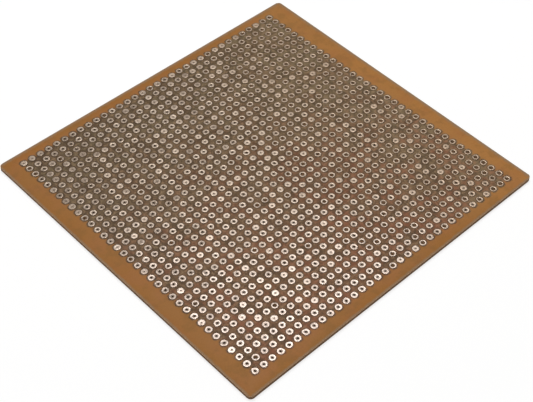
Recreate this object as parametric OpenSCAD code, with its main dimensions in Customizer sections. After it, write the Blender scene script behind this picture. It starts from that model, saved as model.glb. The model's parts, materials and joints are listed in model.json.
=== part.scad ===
// Dot prototype board: a phenolic-paper sheet drilled on a square grid of holes,
// with a tinned copper ring bonded round the mouth of every hole.
// The rings face up. X runs along a row of rings and Y runs from row to row.
// The origin is on the underside, in the middle of the sheet's bounding box.

/* [Grid] */

// distance from one hole to the next, mm
pitch = 2.54; // [2.2:0.01:5.08]
// holes in one row
columns = 34; // [4:1:60]
// rows of holes
rows = 35; // [2:1:59]

/* [Sheet] */

// thickness of the laminate, mm
board_t = 1.2; // [0.6:0.1:3.2]
// bare border from the first column's centres to the left edge, at mid side, mm
border_left = 5.3; // [3:0.1:12]
// bare border from the last column's centres to the right edge, at mid side, mm
border_right = 5.9; // [3:0.1:12]
// bare border from the first row's centres to the front edge, at mid side, mm
border_front = 4.1; // [3:0.1:12]
// bare border from the last row's centres to the back edge, at mid side, mm
border_back = 3.6; // [3:0.1:12]
// radius of the sheet's corners, mm
corner_r = 1.3; // [0.2:0.1:2]

/* [Cut of the sheet, out of square with the grid] */

// anticlockwise turn of the left edge about its middle, degrees
left_turn = -0.2; // [-1.2:0.1:1.2]
// anticlockwise turn of the right edge about its middle, degrees
right_turn = -1.1; // [-1.2:0.1:1.2]
// anticlockwise turn of the front edge about its middle, degrees
front_turn = 0.5; // [-1.2:0.1:1.2]
// anticlockwise turn of the back edge about its middle, degrees
back_turn = -0.2; // [-1.2:0.1:1.2]

/* [Holes and rings] */

// diameter of each drilled hole, mm
hole_d = 1.0; // [0.6:0.05:1.2]
// outer diameter of each ring, mm
ring_d = 1.9; // [1.5:0.05:2.1]
// thickness of the copper foil, mm
foil_t = 0.035; // [0.02:0.005:0.105]
// height of the tin over the foil, mm
tin_t = 0.1; // [0.02:0.01:0.2]
// width of the slope from the foil's edges up to the tin's crest, mm
tin_slope = 0.14; // [0.05:0.01:0.14]

/* [Hidden] */

ROW_NAMES = [for (r = [1:rows]) str("rings_row_", r < 10 ? "0" : "", r)];

LAMINATE_COLOR = [0.60, 0.42, 0.25];
TIN_COLOR = [0.80, 0.75, 0.68];
ROUND = 48;
ARC_REACH = 1.01; // of corner_r

half_x = (columns - 1) * pitch / 2;
half_y = (rows - 1) * pitch / 2;

// Each side of the sheet as [direction of its outward normal, distance from the grid's middle].
SIDES = [
    [right_turn, (half_x + border_right) * cos(right_turn)],
    [90 + back_turn, (half_y + border_back) * cos(back_turn)],
    [180 + left_turn, (half_x + border_left) * cos(left_turn)],
    [270 + front_turn, (half_y + border_front) * cos(front_turn)],
];

function normal(side) = [cos(side[0]), sin(side[0])];

// Where two sides meet once both are moved in by a distance.
function meet(a, b, inset) =
    let (n = normal(a), m = normal(b), p = a[1] - inset, q = b[1] - inset)
    [p * m.y - q * n.y, q * n.x - p * m.x] / (n.x * m.y - n.y * m.x);

CORNERS = [for (k = [0:3]) meet(SIDES[k], SIDES[(k + 1) % 4], 0)];
ARC_CENTRES = [for (k = [0:3]) meet(SIDES[k], SIDES[(k + 1) % 4], corner_r)];

// The arcs' centres lie corner_r inside the sides, so the sheet's middle is that of the centres.
function middle(v) = (max(v) + min(v)) / 2;
sheet_mid = [middle([for (p = ARC_CENTRES) p.x]), middle([for (p = ARC_CENTRES) p.y])];

// Centre of column c along X and of row r along Y, both counted from 1.
function column_x(c) = (c - 1) * pitch - half_x - sheet_mid.x;
function row_y(r) = (r - 1) * pitch - half_y - sheet_mid.y;

hole_r = hole_d / 2;
ring_r = ring_d / 2;
ring_h = foil_t + tin_t;

// The arcs' centres joined, a strip from there out past each side, and a disc at each corner.
// A disc reaches a little past the sides, so that its arc crosses them instead of only touching.
module corner_cutter() {
    polygon(ARC_CENTRES);
    for (k = [0:3]) {
        a = ARC_CENTRES[k];
        b = ARC_CENTRES[(k + 1) % 4];
        out = normal(SIDES[(k + 1) % 4]) * 2 * corner_r;
        polygon([a, a + out, b + out, b]);
        translate(a) circle(r = corner_r * ARC_REACH, $fn = ROUND);
    }
}

module sheet_outline() {
    translate(-sheet_mid)
        intersection() {
            polygon(CORNERS);
            corner_cutter();
        }
}

module laminate() {
    color(LAMINATE_COLOR)
        linear_extrude(board_t)
            difference() {
                sheet_outline();
                for (r = [1:rows], c = [1:columns])
                    translate([column_x(c), row_y(r)]) circle(r = hole_r, $fn = ROUND);
            }
}

// One side of a ring's section: the foil's edges stand square, and the tin slopes up to a flat crest.
module ring_section() {
    polygon([
        [hole_r, 0],
        [ring_r, 0],
        [ring_r, foil_t],
        [ring_r - tin_slope, ring_h],
        [hole_r + tin_slope, ring_h],
        [hole_r, foil_t],
    ]);
}

module rings_row(r) {
    color(TIN_COLOR)
        for (c = [1:columns])
            translate([column_x(c), row_y(r), board_t])
                rotate_extrude($fn = ROUND) ring_section();
}

laminate();
for (r = [1:rows])
    rings_row(r);
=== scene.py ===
# %% [markdown]
# A dot prototype board: a thin sheet of brown phenolic paper, drilled all over on a square grid,
# with a ring of copper foil round every hole that was dipped in molten tin.
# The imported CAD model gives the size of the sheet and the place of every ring.
# This script models what the CAD leaves plain: the sheet's worn arrises and mottled paper, and the
# tin, which sets a little differently on each ring.

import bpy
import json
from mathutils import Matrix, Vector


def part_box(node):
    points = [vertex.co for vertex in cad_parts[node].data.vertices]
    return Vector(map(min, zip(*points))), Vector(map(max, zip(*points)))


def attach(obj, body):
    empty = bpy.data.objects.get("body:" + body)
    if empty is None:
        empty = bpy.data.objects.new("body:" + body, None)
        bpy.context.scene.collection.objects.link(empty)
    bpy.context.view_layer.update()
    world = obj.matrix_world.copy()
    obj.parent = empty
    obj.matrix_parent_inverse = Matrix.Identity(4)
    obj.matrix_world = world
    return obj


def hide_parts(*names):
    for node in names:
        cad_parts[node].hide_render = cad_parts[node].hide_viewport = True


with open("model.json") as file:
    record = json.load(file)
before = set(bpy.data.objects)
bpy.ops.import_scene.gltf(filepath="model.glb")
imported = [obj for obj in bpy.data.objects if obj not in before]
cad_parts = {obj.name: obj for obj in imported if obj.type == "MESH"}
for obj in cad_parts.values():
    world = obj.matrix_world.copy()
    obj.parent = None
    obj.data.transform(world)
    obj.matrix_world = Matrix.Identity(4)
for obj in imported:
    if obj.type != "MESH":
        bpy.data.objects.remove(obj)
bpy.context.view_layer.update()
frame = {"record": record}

# %% [markdown]
# The grid and the heights are worked out from the imported model; the count of columns and rows
# and the ring's radius are given. The first and the last corner hole that it states give the grid:
# its pitch and the place of each hole. The boxes of the sheet and of one row of rings give the
# heights. Lengths are in metres, and mm keeps small ones readable.

# %% Read the grid from the frame
import json
import math
import random

import bpy
from mathutils import Matrix, Vector

mm = 0.001
columns, rows = 34, 35
ring_radius = 0.95 * mm
mounts = {mount["name"]: mount for mount in frame["record"]["mounts"]}
first_hole = Vector(mounts["corner_hole_front_left"]["pos_m"][:2] + [0])
last_hole = Vector(mounts["corner_hole_back_right"]["pos_m"][:2] + [0])
hole_radius = mounts["corner_hole_front_left"]["dims"]["r_mm"] * mm
pitch = (last_hole.x - first_hole.x) / (columns - 1)
grid_middle = (first_hole + last_hole) / 2
grid_half = (last_hole - first_hole) / 2
sheet_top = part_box("laminate")[1][2]
ring_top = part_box("rings_row_01")[1][2]
ring_height = ring_top - sheet_top
print("pitch", pitch, "first hole", first_hole, "last hole", last_hole)
print("hole radius", hole_radius, "ring height", ring_height, "sheet", sheet_top)


# %% [markdown]
# The camera stands where the photographer did: in front of the lower left corner, looking down at
# half a right angle through a long lens. Its place was solved from the grid of holes, so it is
# written as a place, a point that it looks at, and a small roll.

# %% Camera
camera_place = Vector((-143.6, -160.9, 223.0)) * mm
camera_target = Vector((-7.0, -7.78, 1.3)) * mm
camera_roll = math.radians(-1.158)
camera_lens = 83.95

camera_data = bpy.data.cameras.new("camera")
camera_data.lens = camera_lens
camera_data.clip_start = 0.01
camera = bpy.data.objects.new("camera", camera_data)
bpy.context.scene.collection.objects.link(camera)
facing = (camera_target - camera_place).to_track_quat("-Z", "Y").to_matrix().to_4x4()
camera.matrix_world = Matrix.Translation(camera_place) @ facing @ Matrix.Rotation(camera_roll, 4, "Z")
bpy.context.scene.camera = camera
bpy.context.scene.view_settings.view_transform = "Standard"


# %% [markdown]
# Shader maths is easier to read as plain expressions than as chains of nodes.
# A Socket wraps one output of a node, and adding or multiplying sockets adds the Math nodes.
# A Shader holds one material's node tree, and its node method makes any node from its type,
# its settings and the values or links of its inputs.

# %% Helpers for materials
class Socket:
    """One output of a node, on which arithmetic makes Math nodes."""

    def __init__(self, shader, output):
        self.shader, self.output = shader, output

    def math(self, operation, *others):
        return self.shader.node("ShaderNodeMath", {"operation": operation}, [self, *others])

    def __add__(self, other):
        return self.math("ADD", other)

    def __mul__(self, other):
        return self.math("MULTIPLY", other)

    def __sub__(self, other):
        return self.math("SUBTRACT", other)

    def __rsub__(self, other):
        return self.shader.node("ShaderNodeMath", {"operation": "SUBTRACT"}, [other, self])

    def __truediv__(self, other):
        return self.math("DIVIDE", other)

    __radd__ = __add__
    __rmul__ = __mul__

    def step(self, low, high):
        """0 below low, 1 above high, and a smooth rise between them. low may be the larger."""
        settings = {"interpolation_type": "SMOOTHSTEP"}
        if low < high:
            inputs = {"Value": self, "From Min": low, "From Max": high}
        else:
            inputs = {"Value": self, "From Min": high, "From Max": low, "To Min": 1.0, "To Max": 0.0}
        return self.shader.node("ShaderNodeMapRange", settings, inputs, "Result")


class Shader:
    """The node tree of one material."""

    def __init__(self, name):
        self.material = bpy.data.materials.new(name)
        self.material.use_nodes = True
        self.tree = self.material.node_tree
        self.surface = self.tree.nodes["Principled BSDF"]
        self.output = self.tree.nodes["Material Output"]

    def plug(self, value, target):
        if isinstance(value, Socket):
            self.tree.links.new(value.output, target)
        else:
            target.default_value = value

    def node(self, kind, settings=None, inputs=None, output=0):
        """A node of this kind. inputs is a list in the sockets' order, or a dictionary by name."""
        made = self.tree.nodes.new(kind)
        for name, value in (settings or {}).items():
            setattr(made, name, value)
        pairs = enumerate(inputs) if isinstance(inputs, list) else (inputs or {}).items()
        for name, value in pairs:
            self.plug(value, made.inputs[name])
        return Socket(self, made.outputs[output])

    def noise(self, place, scale, detail=2.0, roughness=0.5):
        inputs = {"Vector": place, "Scale": scale, "Detail": detail, "Roughness": roughness}
        return self.node("ShaderNodeTexNoise", None, inputs, "Fac")

    def mix(self, factor, low, high):
        """Colour low where the factor is 0 and high where it is 1."""
        made = self.tree.nodes.new("ShaderNodeMix")
        made.data_type = "RGBA"
        for socket, value in ((0, factor), (6, low), (7, high)):
            self.plug(value, made.inputs[socket])
        return Socket(self, made.outputs[2])

    def bump(self, height, distance, strength=1.0, normal=None):
        inputs = {"Height": height, "Distance": distance, "Strength": strength}
        if normal:
            inputs["Normal"] = normal
        return self.node("ShaderNodeBump", None, inputs)

    def place(self):
        return self.node("ShaderNodeTexCoord", output="Object")

    def parts(self, vector):
        made = self.node("ShaderNodeSeparateXYZ", None, [vector]).output.node
        return [Socket(self, output) for output in made.outputs]

    def seen_from(self, *kinds):
        """1 for rays of these kinds, such as Camera or Glossy, and 0 for all other light."""
        rays = [self.node("ShaderNodeLightPath", output=f"Is {kind} Ray") for kind in kinds]
        seen = rays[0]
        for ray in rays[1:]:
            seen = seen.math("MAXIMUM", ray)
        return seen


def shade(red, green, blue):
    """A colour as it shows on screen, 0 to 255, as the linear colour that a shader takes."""
    linear = []
    for value in (red / 255, green / 255, blue / 255):
        linear.append(value / 12.92 if value <= 0.04045 else ((value + 0.055) / 1.055) ** 2.4)
    return (*linear, 1.0)


# %% [markdown]
# The board lies on a white table under soft boxes. The table is white because its own colour glows
# faintly for the camera and in reflections, not because more light falls on it, so the board's
# soft shadow stays and the colours keep their level.

# %% Table, world and lamps
def white_table():
    """A round white table with a low wall, on which the low views end."""
    radius, wall = 3.0, 0.7
    gap = 0.01 * mm
    bpy.ops.object.select_all(action="DESELECT")
    bpy.ops.mesh.primitive_circle_add(vertices=96, radius=radius, fill_type="NGON", location=(0, 0, -gap))
    bpy.ops.object.mode_set(mode="EDIT")
    bpy.ops.mesh.select_all(action="DESELECT")
    bpy.ops.mesh.select_non_manifold()
    bpy.ops.mesh.extrude_edges_move(TRANSFORM_OT_translate={"value": (0, 0, wall)})
    bpy.ops.object.mode_set(mode="OBJECT")
    table = bpy.context.object
    table.name = "table"
    shader = Shader("table_white")
    shader.surface.inputs["Base Color"].default_value = (0.8, 0.8, 0.8, 1)
    shader.surface.inputs["Roughness"].default_value = 0.9
    shader.surface.inputs["Specular IOR Level"].default_value = 0.1
    soft = shader.node("ShaderNodeBsdfDiffuse", None, {"Color": (0.3, 0.3, 0.3, 1)}, "BSDF")
    glow = shader.node("ShaderNodeEmission", None, {"Color": (1, 1, 1, 1), "Strength": 0.74})
    white = shader.node("ShaderNodeAddShader", None, [soft, glow])
    plain = Socket(shader, shader.surface.outputs["BSDF"])
    seen = shader.seen_from("Camera", "Glossy", "Transmission")
    shader.plug(shader.node("ShaderNodeMixShader", None, [seen, plain, white]), shader.output.inputs["Surface"])
    table.data.materials.append(shader.material)


def room():
    """A pale room for the light that the lamps don't give."""
    world = bpy.data.worlds.new("room")
    bpy.context.scene.world = world
    world.use_nodes = True
    background = world.node_tree.nodes["Background"]
    background.inputs["Color"].default_value = (1, 0.98, 0.95, 1)
    background.inputs["Strength"].default_value = 0.2


def soft_box(name, direction, distance, side, watts, tint=(1, 1, 1)):
    """A square lamp that faces the board from a direction given as azimuth from +Y towards +X, and elevation."""
    azimuth, elevation = (math.radians(angle) for angle in direction)
    flat = math.cos(elevation)
    place = Vector((math.sin(azimuth) * flat, math.cos(azimuth) * flat, math.sin(elevation))) * distance
    lamp = bpy.data.lights.new(name, "AREA")
    lamp.shape = "SQUARE"
    lamp.size = side
    lamp.energy = watts
    lamp.color = tint
    holder = bpy.data.objects.new(name, lamp)
    bpy.context.scene.collection.objects.link(holder)
    holder.matrix_world = Matrix.Translation(place) @ (-place).to_track_quat("-Z", "Y").to_matrix().to_4x4()


white_table()
room()
soft_box("key_box", (38, 66), 1.0, 0.42, 5.6)
soft_box("fill_box", (-124, 50), 1.2, 0.8, 4.0)


# %% [markdown]
# The sheet is modelled the way that it is made. One cell of the grid, a square with a hole, is
# bridged from the rim of a small grid to a circle and then repeated in both directions. Rim and
# circle have as many points, so all its faces are plain quads and the cells join without a gap.

# %% Drill the grid of holes
hole_sides = 16


def deselect_all():
    bpy.ops.object.select_all(action="DESELECT")


def pick_vertices(thing, wanted):
    """In object mode: selects the vertices whose place passes the test, and nothing else."""
    mesh = thing.data
    mesh.polygons.foreach_set("select", [False] * len(mesh.polygons))
    mesh.edges.foreach_set("select", [False] * len(mesh.edges))
    mesh.vertices.foreach_set("select", [bool(wanted(vertex.co)) for vertex in mesh.vertices])


deselect_all()
rim_cuts = hole_sides // 4
bpy.ops.mesh.primitive_grid_add(x_subdivisions=rim_cuts, y_subdivisions=rim_cuts, size=pitch, location=(0, 0, 0))
laminate = bpy.context.object
laminate.name = "laminate_sheet"
pick_vertices(laminate, lambda co: max(abs(co.x), abs(co.y)) < 0.49 * pitch)
bpy.ops.object.mode_set(mode="EDIT")
bpy.ops.mesh.select_mode(type="VERT")
bpy.ops.mesh.delete(type="VERT")
bpy.ops.mesh.primitive_circle_add(vertices=hole_sides, radius=hole_radius, location=(0, 0, 0))
bpy.ops.mesh.select_all(action="SELECT")
bpy.ops.mesh.bridge_edge_loops()
bpy.ops.mesh.select_all(action="SELECT")
bpy.ops.transform.translate(value=(first_hole.x, first_hole.y, sheet_top))
bpy.ops.object.mode_set(mode="OBJECT")
print("one cell", len(laminate.data.polygons), "faces")

for count, step in ((columns, (pitch, 0, 0)), (rows, (0, pitch, 0))):
    repeat = laminate.modifiers.new("repeat", "ARRAY")
    repeat.count = count
    repeat.use_relative_offset = False
    repeat.use_constant_offset = True
    repeat.constant_offset_displace = step
    repeat.use_merge_vertices = True
    repeat.merge_threshold = 0.01 * mm
    bpy.ops.object.modifier_apply(modifier=repeat.name)
print("drilled grid", len(laminate.data.polygons), "faces")

# %% [markdown]
# The rim of the drilled grid is drawn out past the sheet's outline and then sawn off along the four
# sides. They stand where the CAD model has them, slightly out of square with the grid, as the
# photograph shows. Each corner is rounded by a few more cuts, the sheet gets its thickness, and
# both its outer arrises are broken, which is what catches the light along the sides.

# %% Saw the sides and give the sheet its thickness
saw_lines = {
    "right": (0, -1.1, 5.9),
    "back": (90, -0.2, 3.6),
    "left": (180, -0.2, 5.3),
    "front": (270, 0.5, 4.1),
}
corner_radius = 1.3 * mm
corner_cuts = 13
arris_width = 0.09 * mm
drawn_out = 12 * mm

rim_half = grid_half + Vector((pitch, pitch, 0)) / 2


def past_rim(co):
    past = max(abs(co.x - grid_middle.x) - rim_half.x, abs(co.y - grid_middle.y) - rim_half.y)
    return past


pick_vertices(laminate, lambda co: past_rim(co) > -0.01 * mm)
bpy.ops.object.mode_set(mode="EDIT")
bpy.ops.mesh.extrude_edges_move(TRANSFORM_OT_translate={"value": (0, 0, 0)})
grown = [(half + drawn_out) / half for half in rim_half.xy]
bpy.ops.transform.resize(value=(*grown, 1), center_override=(grid_middle.x, grid_middle.y, sheet_top))


def saw(point, normal):
    """In edit mode: takes off all of the flat sheet that lies beyond a line."""
    bpy.ops.mesh.select_all(action="SELECT")
    bpy.ops.mesh.bisect(plane_co=point, plane_no=normal, clear_outer=True)


def heading(angle):
    return Vector((math.cos(angle), math.sin(angle), 0))


sides = []
for facing, turn, border in saw_lines.values():
    normal = heading(math.radians(facing + turn))
    half = grid_half.x if facing % 180 == 0 else grid_half.y
    point = grid_middle + normal * (half + border * mm) * math.cos(math.radians(turn))
    sides.append((normal, normal.dot(point)))
    saw(point, normal)

for (n, n_reach), (m, m_reach) in zip(sides, sides[1:] + sides[:1]):
    a, b = n_reach - corner_radius, m_reach - corner_radius
    centre = Vector((a * m.y - b * n.y, b * n.x - a * m.x, 0)) / (n.x * m.y - n.y * m.x)
    for cut in range(1, corner_cuts + 1):
        normal = n.slerp(m, cut / (corner_cuts + 1))
        saw(centre + normal * corner_radius, normal)

bpy.ops.mesh.select_all(action="SELECT")
bpy.ops.mesh.extrude_region_move(TRANSFORM_OT_translate={"value": (0, 0, -sheet_top)})
bpy.ops.mesh.select_all(action="SELECT")
bpy.ops.mesh.normals_make_consistent(inside=False)
bpy.ops.object.mode_set(mode="OBJECT")
for level in (0, sheet_top):
    pick_vertices(laminate, lambda co: past_rim(co) > 1.5 * mm and abs(co.z - level) < 0.01 * mm)
    bpy.ops.object.mode_set(mode="EDIT")
    bpy.ops.mesh.bevel(offset=arris_width, segments=2, affect="EDGES")
    bpy.ops.object.mode_set(mode="OBJECT")
print("sheet", len(laminate.data.polygons), "faces", laminate.dimensions[:])

deselect_all()
laminate.select_set(True)
bpy.context.view_layer.objects.active = laminate
bpy.ops.object.shade_smooth_by_angle(angle=math.radians(35))
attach(laminate, "root")
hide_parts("laminate")


# %% [markdown]
# Phenolic paper is kraft paper soaked in resin and pressed: an even brown with soft clouds and a
# satin skin, painted paler towards the right as painted light. Between the rings it is darker and
# greyer, with red blotches where four rings meet and a dark line round each ring that is partly flux
# and partly painted contact shadow. A greyer band runs along the sides. The sawn sides show the
# layers of paper and a pale arris, partly pale broken paper and partly a painted highlight, and
# their bottom and the hole walls are painted paler, as painted light against the shade there.
# All of that follows the grid and the sides, so the material works out the distance to both.

# %% Phenolic paper
def from_grid_line(along, start):
    """How far a place is from the nearest grid line along one axis, in pitches."""
    shifted = (along - start) / pitch + 0.5
    return (shifted.math("FRACT") - 0.5).math("ABSOLUTE")


def paper():
    shader = Shader("phenolic_paper")
    place = shader.place()
    x, y, z = shader.parts(place)
    clouds = shader.noise(place, 45.0, 3.0)
    blotches = shader.noise(place, 330.0, 3.0, 0.6)
    specks = shader.noise(place, 1300.0, 3.0, 0.65)
    patches = shader.noise(place, 150.0, 3.0, 0.6)
    spots = shader.noise(place, 700.0, 2.0, 0.5)
    grain = shader.noise(place, 2400.0, 2.0, 0.6)
    rightward = (x - y * 0.1).step(15 * mm, 60 * mm)

    # Painted light: the border is painted paler towards the right, where more light falls on the board.
    border = shader.mix(rightward, shade(*BORDER_LEFT), shade(*BORDER_RIGHT_PAINTED_LIGHT))
    border = shader.mix(clouds.step(0.35, 0.7) * 0.3, border, shade(*BORDER_CLOUD))
    border = shader.mix(patches.step(0.45, 0.62) * 0.35, border, shade(*BORDER_RED))
    border = shader.mix(blotches.step(0.48, 0.64) * 0.3, border, shade(*BORDER_OLIVE))
    border = shader.mix(grain.step(0.35, 0.75) * 0.12, border, shade(*BORDER_FIBRE))

    backward = y.step(-40 * mm, 40 * mm)
    field = shader.mix(backward, shade(*FIELD_FRONT), shade(*FIELD_BACK))
    # Painted light: the field between the rings is painted paler towards the right as well.
    field = shader.mix(x.step(5 * mm, 42 * mm) * 0.8, field, shade(*FIELD_RIGHT_PAINTED_LIGHT))
    field = shader.mix(blotches.step(0.42, 0.6) * 0.6, field, shade(*FIELD_BLOTCH))
    field = shader.mix(specks.step(0.48, 0.68) * 0.75, field, shade(*FIELD_PALE))
    field = shader.mix(specks.step(0.48, 0.32) * 0.6, field, shade(*FLUX_AND_SHADE))
    red_patch = (patches + specks * 0.35).step(0.6, 0.76)
    across = from_grid_line(x, first_hole.x)
    along = from_grid_line(y, first_hole.y)
    from_hole = (across * across + along * along).math("SQRT") * pitch
    crossing = from_hole.step(1.0 * mm, 1.9 * mm) * 0.6 + 0.4
    field = shader.mix(crossing * red_patch * (backward * -0.42 + 0.5), field, shade(*FIELD_RED))
    leftover = (y - x).step(0 * mm, 80 * mm)
    # The dark line round each ring is partly flux and partly painted contact shadow where the ring meets the sheet.
    flux_and_shadow_edge = from_hole + (spots - 0.5) * (0.7 * mm) + leftover * (-0.12 * mm)
    flux_and_contact_shadow = flux_and_shadow_edge.step(ring_radius + 0.34 * mm, ring_radius - 0.1 * mm)
    field = shader.mix(flux_and_contact_shadow * (leftover * 0.25 + 0.55), field, shade(*FLUX_AND_SHADE))

    outside_x = (x - grid_middle.x).math("ABSOLUTE") - grid_half.x
    outside_y = (y - grid_middle.y).math("ABSOLUTE") - grid_half.y
    outside = outside_x.math("MAXIMUM", outside_y)
    halo = (from_hole + (specks - 0.5) * (0.9 * mm)).step(ring_radius + 0.6 * mm, ring_radius - 0.1 * mm) * outside.step(0.52 * pitch, 0.48 * pitch)
    ragged = outside + (blotches - 0.5) * (1.2 * mm)
    facing = shader.node("ShaderNodeNewGeometry", output="Normal")
    upward = shader.parts(facing)[2]
    in_field = ragged.step(0.6 * mm, -0.2 * mm).math("MAXIMUM", halo) * upward.step(0.0, 0.5)
    top = shader.mix(in_field, border, field)

    inward = None
    for (normal, reach), narrowing in zip(sides, (0.5, 0.5, 1.0, 1.0)):
        gap = ((x * normal.x + y * normal.y) * -1.0 + reach) * narrowing
        inward = gap if inward is None else inward.math("MINIMUM", gap)
    # A greyer band along all four sides of the top, twice as wide at the right and the back.
    grey_edge_band = (inward + (specks - 0.5) * (0.7 * mm)).step(0.62 * mm, 0.1 * mm)
    top = shader.mix(grey_edge_band * 0.8, top, shade(*GREY_EDGE_BAND))

    side_mask = upward.math("ABSOLUTE").step(0.6, 0.4)
    flattened = shader.node("ShaderNodeVectorMath", {"operation": "MULTIPLY"}, [place, (0.12, 0.12, 1.0)])
    layers = shader.noise(flattened, 5000.0, 3.0, 0.6).step(0.35, 0.65)
    sawn = shader.mix(layers * 0.5, shade(*SAWN_DARK), shade(*SAWN_PALE))
    # The top of each sawn side is painted pale: partly pale broken paper and partly a painted highlight along the
    # arris.
    sawn = shader.mix(z.step(sheet_top * 0.72, sheet_top * 0.92), sawn, shade(*ARRIS_PALE_AND_PAINTED_LIGHT))
    # The bottom of each sawn side is painted paler as well: partly a broken arris and partly painted light against
    # the shade near the table.
    sawn = shader.mix(z.step(sheet_top * 0.3, sheet_top * 0.05) * 0.6, sawn, shade(*ARRIS_PALE_AND_PAINTED_LIGHT))
    # The walls of the holes are painted much paler than the sawn sides: painted light against the shade inside the
    # holes.
    drilled = shader.mix(layers * 0.4, shade(*DRILLED_WALL_PAINTED_LIGHT), shade(*SAWN_PALE))
    in_hole = outside.step(0.5 * pitch, 0.4 * pitch)
    wall = shader.mix(in_hole, sawn, drilled)
    shader.plug(shader.mix(side_mask, top, wall), shader.surface.inputs["Base Color"])

    shader.plug(side_mask * 0.3 + 0.5 + (blotches - 0.5) * 0.15, shader.surface.inputs["Roughness"])
    shader.surface.inputs["Specular IOR Level"].default_value = 0.12
    shader.plug(shader.bump(grain + clouds * 0.6, 0.02 * mm, 0.4), shader.surface.inputs["Normal"])
    return shader.material


BORDER_LEFT = (158, 105, 48)
BORDER_RIGHT_PAINTED_LIGHT = (180, 125, 66)
BORDER_CLOUD = (154, 112, 68)
BORDER_RED = (164, 106, 62)
BORDER_OLIVE = (130, 96, 50)
BORDER_FIBRE = (112, 72, 40)
FIELD_FRONT = (120, 86, 58)
FIELD_BACK = (112, 95, 70)
FIELD_RIGHT_PAINTED_LIGHT = (130, 111, 82)
FIELD_BLOTCH = (78, 62, 42)
FIELD_PALE = (150, 124, 94)
FIELD_RED = (160, 92, 64)
FLUX_AND_SHADE = (80, 60, 42)
GREY_EDGE_BAND = (147, 122, 95)
SAWN_DARK = (116, 90, 68)
SAWN_PALE = (150, 118, 90)
ARRIS_PALE_AND_PAINTED_LIGHT = (206, 166, 130)
DRILLED_WALL_PAINTED_LIGHT = (188, 157, 124)
laminate.data.materials.append(paper())

# %% [markdown]
# Dipped tin is a dull, slightly yellow white. It freezes with a fine crystal skin, so its gloss is
# broken up, and flux leaves brown stains on it, more of them towards the back left, where the board
# left the bath. Its colour also holds a painted reflection, brightest at the front left and duller
# towards the back and the right, and painted shade at the foot of each ring and towards its hole,
# partly flux there. Each ring gets its own tone from a random number that belongs to its cell.

# %% Tin
def tin():
    shader = Shader("dipped_tin")
    place = shader.place()
    x, y, z = shader.parts(place)
    cell_x = ((x - first_hole.x) / pitch + 0.5).math("FLOOR")
    cell_y = ((y - first_hole.y) / pitch + 0.5).math("FLOOR")
    cell = shader.node("ShaderNodeCombineXYZ", None, [cell_x, cell_y, 0.0])
    chance = shader.node("ShaderNodeTexWhiteNoise", None, {"Vector": cell}, "Value")
    crystals = shader.noise(place, 3200.0, 3.0, 0.6)
    lumps = shader.noise(place, 1100.0, 2.0)
    dirt = shader.noise(place, 1900.0, 3.0, 0.6)
    backward = (y - x * 0.9).step(-20 * mm, 75 * mm)
    away = (y * 0.8 + x * 0.6).step(-65 * mm, 5 * mm)

    # Painted reflection: the tin is painted brightest at the front left, where it would mirror the key box, duller
    # towards the back, and duller and yellower towards the right.
    bright = shader.mix(away, shade(*TIN_PAINTED_REFLECTION), shade(*TIN_DULL))
    bright = shader.mix(x.step(-5 * mm, 45 * mm), bright, shade(*TIN_YELLOW))
    bright = shader.mix(chance * 0.06, bright, shade(*TIN_TARNISH))
    tarnish = (lumps + backward * 0.12 + (chance - 0.5) * 0.06).step(0.52, 0.78)
    colour = shader.mix(tarnish * 0.3, bright, shade(*TIN_TARNISH))
    # Painted shade: the foot of each ring, where it meets the sheet, is painted darker.
    foot_shade = z.step(sheet_top + 0.06 * mm, sheet_top + 0.01 * mm)
    stain_and_shade = (dirt + backward * 0.12 + (chance - 0.5) * 0.08).step(0.54, 0.82)
    across = from_grid_line(x, first_hole.x)
    along = from_grid_line(y, first_hole.y)
    from_hole = (across * across + along * along).math("SQRT") * pitch
    # Towards the centre of each ring the tin is painted darker, with a darker dot at the very centre: partly flux
    # dirt and partly painted shade in the mouth of the hole, stronger towards the back.
    dimple_dirt_and_shade = (from_hole + (lumps - 0.5) * (0.6 * mm)).step(0.4 * mm, 0.14 * mm) * (away * 0.35 + 0.2)
    core_dirt_and_shade = (from_hole + (dirt - 0.5) * (0.5 * mm)).step(0.3 * mm, 0.16 * mm)
    crack = (from_hole + (dirt - 0.5) * (1.3 * mm) - 0.4 * mm).math("ABSOLUTE").step(0.15 * mm, 0.02 * mm)
    crack = crack * (chance * 0.5 + backward * 0.6).step(0.5, 0.7)
    # Flux stains and cracks, and the painted shade at the foot and the centre, all turn the tin to the same dull
    # brown.
    stain_and_shade = (stain_and_shade * 0.5).math("MAXIMUM", foot_shade * 0.8).math("MAXIMUM", dimple_dirt_and_shade).math("MAXIMUM", crack * 0.6).math("MAXIMUM", core_dirt_and_shade * 0.75)
    shader.plug(shader.mix(stain_and_shade, colour, shade(*FLUX_AND_SHADE)), shader.surface.inputs["Base Color"])
    shader.plug(stain_and_shade * -0.9 + 1.0, shader.surface.inputs["Metallic"])
    shader.plug(crystals * 0.16 + chance * 0.06 + 0.4 + stain_and_shade * 0.3, shader.surface.inputs["Roughness"])
    skin = shader.bump(crystals, 0.012 * mm, 0.5)
    shader.plug(shader.bump(lumps, 0.05 * mm, 0.6, skin), shader.surface.inputs["Normal"])
    return shader.material


TIN_DULL = (178, 162, 146)
TIN_PAINTED_REFLECTION = (217, 201, 190)
TIN_YELLOW = (169, 149, 129)
TIN_TARNISH = (146, 122, 100)
tin_material = tin()


# %% [markdown]
# A tinned ring could be turned as one profile, but no two are alike: the tin sags to one side, it
# narrows the hole more or less, and now and then a skin of tin closes it. So a few models of three
# kinds are shaped from a circle, extruded loop by loop over the crest and down into the hole and
# closed underneath. They are lumped a little and then copied to all the holes.

# %% Model the rings
ring_sides = 16


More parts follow.
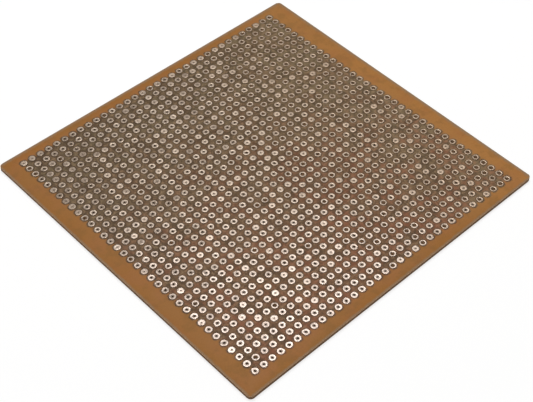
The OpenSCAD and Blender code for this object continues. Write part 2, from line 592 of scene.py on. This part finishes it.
def extrude_loop(radius_from, radius_to, height_from, height_to, shift):
    """In edit mode, with one loop of edges selected: the next loop, at its own radius and height."""
    move = {"value": (*shift, height_to - height_from)}
    bpy.ops.mesh.extrude_edges_move(TRANSFORM_OT_translate=move)
    factor = radius_to / radius_from
    bpy.ops.transform.resize(value=(factor, factor, 1), center_override=(*shift, height_to))


def model_ring(kind, crest, bore, drift):
    """One ring at the origin. crest is the tin's height, bore the radius left open, drift its offset."""
    loops = [
        (ring_radius, 0.0),
        (ring_radius - 0.05 * mm, 0.75 * crest),
        (ring_radius - 0.16 * mm, crest),
        (bore + 0.07 * mm, 0.85 * crest),
        (bore, 0.0),
    ]
    if kind == "skinned":
        loops[3:] = [(0.45 * mm, 0.88 * crest), (bore, 0.5 * crest)]
    bpy.ops.mesh.primitive_circle_add(vertices=ring_sides, radius=ring_radius, location=(0, 0, 0))
    ring = bpy.context.object
    ring.name = f"ring_model_{kind}"
    bpy.ops.object.mode_set(mode="EDIT")
    bpy.ops.mesh.select_all(action="SELECT")
    for number, ((r0, z0), (r1, z1)) in enumerate(zip(loops, loops[1:])):
        extrude_loop(r0, r1, z0, z1, drift if number == 2 else (0, 0))
    if kind == "skinned":
        bpy.ops.mesh.edge_face_add()
        bpy.ops.mesh.poke()
        bpy.ops.mesh.select_all(action="DESELECT")
        bpy.ops.mesh.select_non_manifold()
        bpy.ops.mesh.edge_face_add()
    else:
        bpy.ops.mesh.select_all(action="DESELECT")
        bpy.ops.mesh.select_non_manifold()
        bpy.ops.mesh.bridge_edge_loops()
    bpy.ops.mesh.select_all(action="SELECT")
    bpy.ops.mesh.normals_make_consistent(inside=False)
    bpy.ops.object.mode_set(mode="OBJECT")
    return ring


def lump(ring, number, strength):
    """Pushes the tin in and out by a soft noise that is different for each model."""
    clouds = bpy.data.textures.new(f"lumps_{number}", "CLOUDS")
    clouds.noise_scale = 0.9 * mm
    clouds.noise_depth = 1
    ring.location = (number * 7 * mm, 3 * mm, 0)
    bpy.context.view_layer.update()
    for direction in ("X", "Y", "Z"):
        push = ring.modifiers.new("lumps", "DISPLACE")
        push.texture = clouds
        push.texture_coords = "GLOBAL"
        push.direction = direction
        push.mid_level = 0.5
        push.strength = strength * (0.22 if direction == "Z" else 1.0)
        bpy.ops.object.modifier_apply(modifier=push.name)
    ring.location = (0, 0, 0)


choice = random.Random(27)
bores = {"thick": (0.15 * mm, 0.28 * mm, 7), "open": (0.38 * mm, 0.46 * mm, 5), "skinned": (0.12 * mm, 0.2 * mm, 4)}
models = {}
for kind, (least, most, count) in bores.items():
    models[kind] = []
    for number in range(count):
        deselect_all()
        drift = (choice.gauss(0, 0.04) * mm, choice.gauss(0, 0.04) * mm)
        ring = model_ring(kind, ring_height * choice.uniform(0.75, 0.95), choice.uniform(least, most), drift)
        lump(ring, 10 * len(models) + number, choice.uniform(0.12, 0.26) * mm)
        models[kind].append(ring)
print({kind: [len(ring.data.polygons) for ring in made] for kind, made in models.items()})


# %% [markdown]
# Each row of rings becomes one joined piece in place of its plain CAD row. A copy gets a turn, a
# small change of size, and a height that keeps it on the sheet and under the CAD's crest. The drill
# was fresh on the right, where the holes are open, and more holes are closed towards the back left.

# %% Set the rings on the board
def settle(mesh):
    """Keeps every point between the sheet's face and the crest of the CAD's rings."""
    for vertex in mesh.vertices:
        vertex.co.z = min(max(vertex.co.z, sheet_top), ring_top)


def pick_kind(column, row):
    rightward, backward = column / (columns - 1), row / (rows - 1)
    open_share = 0.05 + 0.85 * max(0.0, rightward - 0.4) / 0.6
    skinned_share = 0.04 + 0.24 * backward * (1 - 0.5 * rightward) + 0.06 * math.sin(math.pi * rightward)
    weights = (max(0.05, 1 - open_share - skinned_share), open_share, skinned_share)
    return choice.choices(("thick", "open", "skinned"), weights=weights)[0]


def lay_row(row):
    copies = []
    for column in range(columns):
        model = choice.choice(models[pick_kind(column, row)])
        mesh = model.data.copy()
        size = choice.uniform(0.95, 1.01)
        turn = Matrix.Rotation(choice.uniform(0, math.tau), 4, "Z")
        spot = Vector((first_hole.x + column * pitch, first_hole.y + row * pitch, sheet_top))
        slip = Vector((choice.gauss(0, 0.02), choice.gauss(0, 0.02), 0)) * mm
        mesh.transform(Matrix.Translation(spot + slip) @ turn @ Matrix.Scale(size, 4))
        settle(mesh)
        copy = bpy.data.objects.new("ring", mesh)
        bpy.context.scene.collection.objects.link(copy)
        copies.append(copy)
    deselect_all()
    for copy in copies:
        copy.select_set(True)
    bpy.context.view_layer.objects.active = copies[0]
    bpy.ops.object.join()
    bpy.ops.object.shade_smooth()
    piece = bpy.context.object
    piece.name = f"tinned_rings_row_{row + 1:02d}"
    piece.data.materials.clear()
    piece.data.materials.append(tin_material)
    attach(piece, "root")
    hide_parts(f"rings_row_{row + 1:02d}")
    return piece


pieces = [lay_row(row) for row in range(rows)]
for made in models.values():
    for ring in made:
        bpy.data.objects.remove(ring)
print(len(pieces), "rows,", sum(len(piece.data.polygons) for piece in pieces), "faces")
